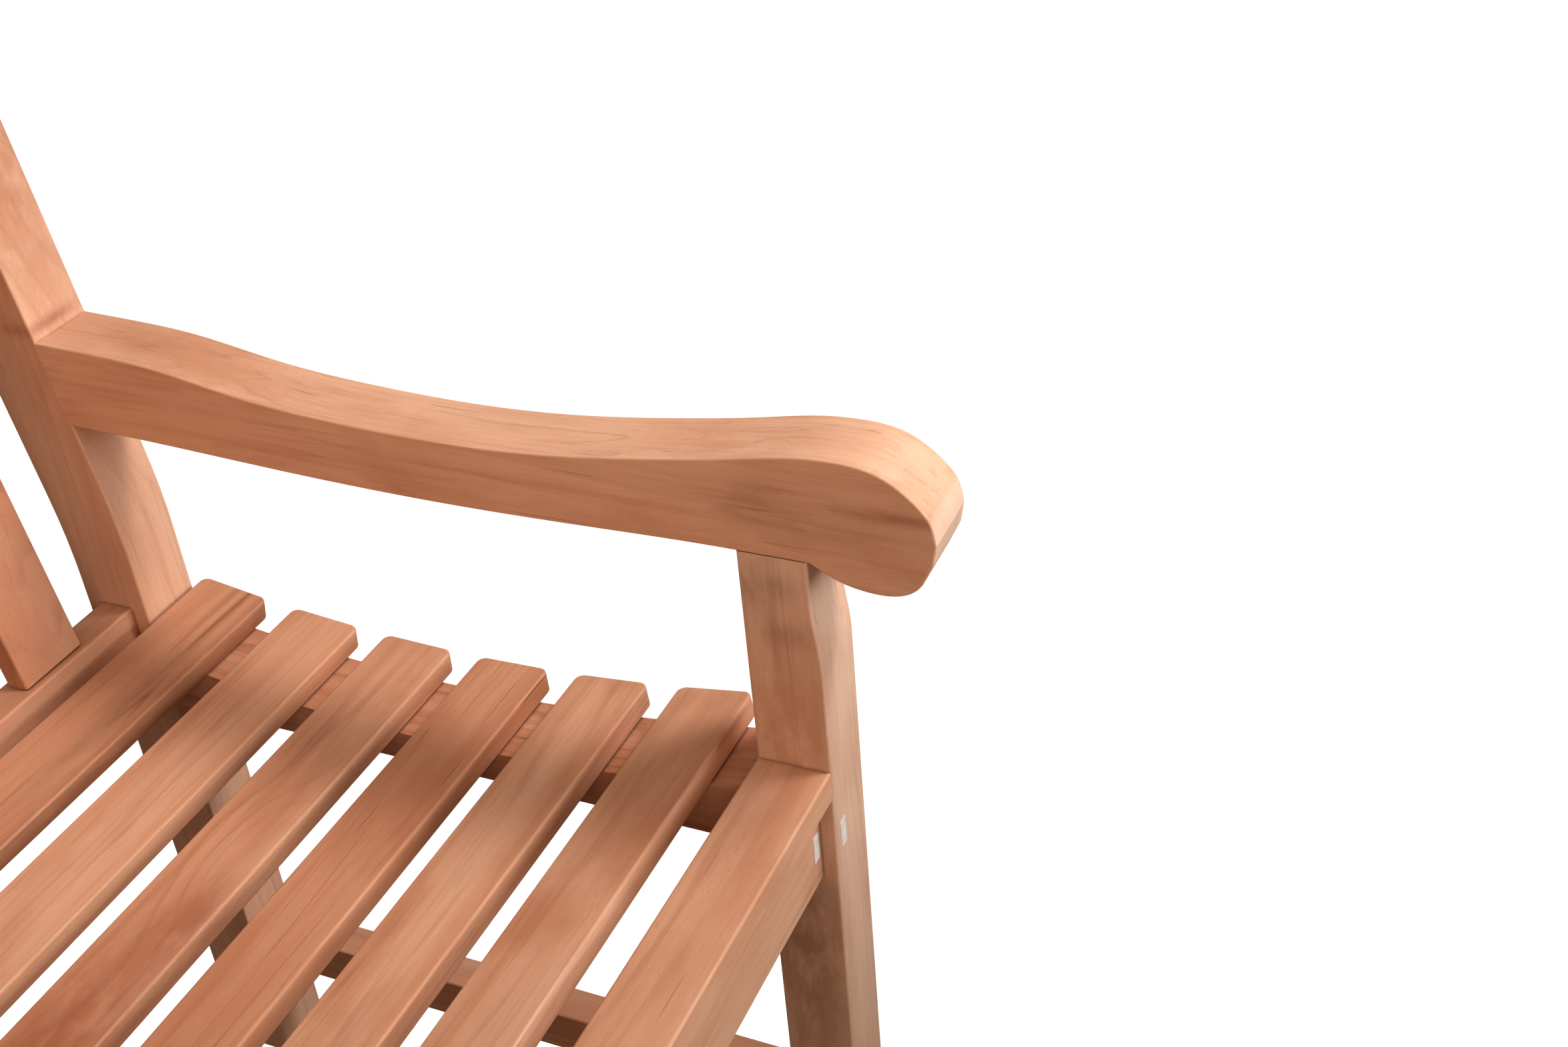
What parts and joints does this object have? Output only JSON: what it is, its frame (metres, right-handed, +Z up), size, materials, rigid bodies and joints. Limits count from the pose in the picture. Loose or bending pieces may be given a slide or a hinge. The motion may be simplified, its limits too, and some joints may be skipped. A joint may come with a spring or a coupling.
{
  "type": "garden bench",
  "caption": "Slatted hardwood garden bench for two, with a dished seat, a raked slatted back and scrolled arms.",
  "frame": {"origin": "centre of the bench's footprint box, on the floor", "axes": "+X along the bench towards the sitter's left-hand arm, +Y from the front edge to the back, +Z up"},
  "size_m": [1.2, 0.6756, 0.9],
  "materials": {
    "teak": "sanded, unfinished, open-grained teak",
    "steel": "plain stainless fasteners",
    "paper": "blank paper label"
  },
  "bodies": {
    "root": {"armrest_left": "teak", "armrest_right": "teak", "back_slat_01": "teak", "back_slat_02": "teak", "back_slat_03": "teak", "back_slat_04": "teak", "back_slat_05": "teak", "back_slat_06": "teak", "back_slat_07": "teak", "back_slat_08": "teak", "back_slat_09": "teak", "back_slat_10": "teak", "back_slat_11": "teak", "barrel_nuts": "steel", "bolt_washers": "steel", "crest_rail": "teak", "end_bearer_left": "teak", "end_bearer_right": "teak", "frame_bolts": "steel", "front_leg_left": "teak", "front_leg_right": "teak", "front_rail": "teak", "front_slat": "teak", "leg_label": "paper", "mid_bearer": "teak", "rail_label": "paper", "rear_leg_left": "teak", "rear_leg_right": "teak", "rear_rail": "teak", "seat_slat_1": "teak", "seat_slat_2": "teak", "seat_slat_3": "teak", "seat_slat_4": "teak", "seat_slat_5": "teak", "seat_slat_6": "teak", "side_rail_left": "teak", "side_rail_right": "teak", "side_stretcher_left": "teak", "side_stretcher_right": "teak", "slat_screws": "steel"}
  },
  "joints": []
}
